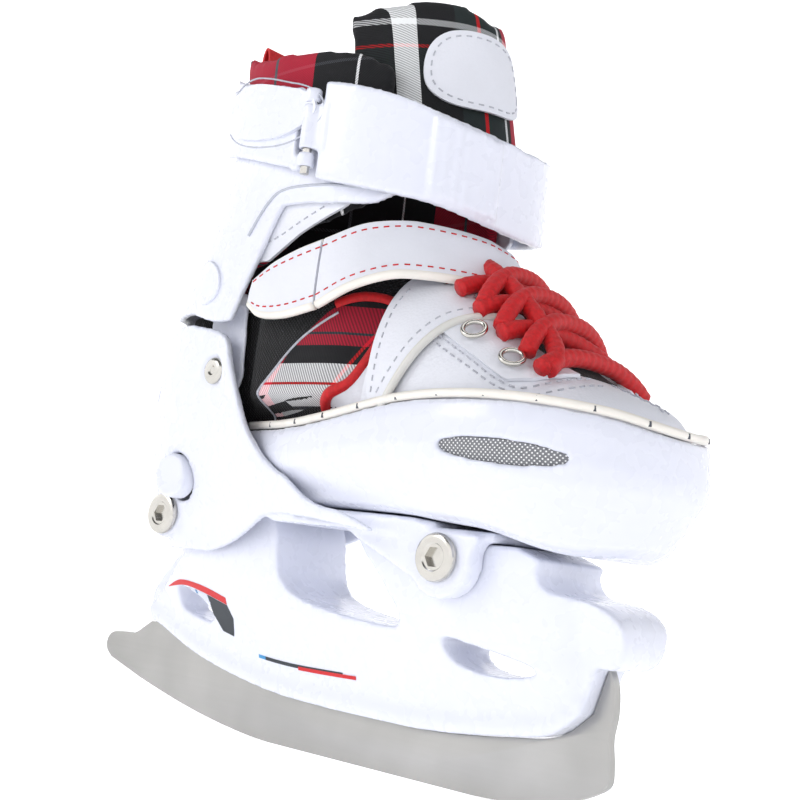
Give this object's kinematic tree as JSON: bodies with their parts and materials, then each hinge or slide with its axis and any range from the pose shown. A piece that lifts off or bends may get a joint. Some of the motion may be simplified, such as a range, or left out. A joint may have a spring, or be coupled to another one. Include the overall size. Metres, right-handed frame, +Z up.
{
  "type": "ice skate",
  "caption": "Child's size-adjustable ice skate with a hard shell, soft liner, laces, instep strap, cuff strap and a steel blade in a plastic holder.",
  "frame": {"origin": "on the surface the blade stands on, in the blade's mid plane, below the middle of the skate's length", "axes": "+X to the toe, +Y to the wearer's left (the skate's inner side), +Z up the leg"},
  "size_m": [0.251, 0.0969, 0.2563],
  "materials": {
    "blade_steel": "stainless steel, satin ground along its length",
    "nickel": "nickel plated steel",
    "spring_steel": "zinc plated spring wire",
    "white_shell": "injection moulded, glossy white with a cool cast",
    "grey_plastic": "injection moulded, satin light grey",
    "white_leatherette": "coated synthetic leather, fine grain, white",
    "cream_trim": "soft edge binding, cream",
    "black_mesh": "woven black mesh over thin foam",
    "plaid_fabric": "woven plaid, black, red and white",
    "red_textile": "braided red polyester",
    "foam": "dense foam with a knitted cover"
  },
  "bodies": {
    "chassis": {"blade": "blade_steel", "blade_holder": "white_shell", "heel_shell": "white_shell", "front_bolt": "nickel", "front_barrel_nut": "nickel", "rear_bolt": "nickel", "rear_barrel_nut": "nickel", "button_spring": "spring_steel", "footboard": "grey_plastic", "ankle_rivet_outer": "nickel", "ankle_rivet_inner": "nickel", "liner_quarter": "black_mesh", "insole": "foam"},
    "toe_section": {"toe_shell": "white_shell", "vent_mesh_outer": "grey_plastic", "vent_mesh_inner": "grey_plastic", "toe_upper": "white_leatherette", "toe_piping": "cream_trim", "eyestay_outer": "white_leatherette", "eyestay_inner": "white_leatherette", "eyelet_outer_1": "nickel", "eyelet_outer_2": "nickel", "eyelet_inner_1": "nickel", "eyelet_inner_2": "nickel", "lace": "red_textile", "size_rack": "grey_plastic", "power_strap": "white_leatherette"},
    "size_button": {"size_button": "white_shell"},
    "cuff": {"cuff": "white_shell", "strap_anchor": "white_shell", "strap_pin": "nickel", "buckle_base": "white_shell", "buckle_pin": "nickel", "liner_shaft": "plaid_fabric", "tongue": "plaid_fabric", "tongue_badge": "white_leatherette", "pull_tab": "red_textile"},
    "front_strap": {"cuff_strap": "white_shell"},
    "buckle_lever": {"buckle_lever": "grey_plastic"},
    "strap_tab": {"power_strap_tab": "white_leatherette"}
  },
  "joints": [
    {"name": "size_adjust", "type": "slide", "parent": "chassis", "child": "toe_section", "axis": [1, 0, 0], "range_m": [0, 0.02]},
    {"name": "size_button_press", "type": "slide", "parent": "chassis", "child": "size_button", "axis": [0, 1, 0], "range_m": [0, 0.0035], "stiffness_N_per_m": 400},
    {"name": "ankle_hinge", "type": "hinge", "parent": "chassis", "child": "cuff", "pos_m": [-0.042, 0, 0.124], "axis": [0, 1, 0], "range_deg": [-3, 3], "stiffness_Nm_per_rad": 15},
    {"name": "strap_hinge", "type": "hinge", "parent": "cuff", "child": "front_strap", "pos_m": [0, -0.0443, 0.2], "axis": [0, 0, -1], "range_deg": [0, 60]},
    {"name": "lever_hinge", "type": "hinge", "parent": "cuff", "child": "buckle_lever", "pos_m": [-0.03, 0.0468, 0.21], "axis": [0, 0, 1], "range_deg": [0, 70]},
    {"name": "strap_tab_fold", "type": "hinge", "parent": "toe_section", "child": "strap_tab", "pos_m": [0.0076, -0.0401, 0.15485], "axis": [-0.0989, 0.1187, 0.988], "range_deg": [0, 60]}
  ]
}
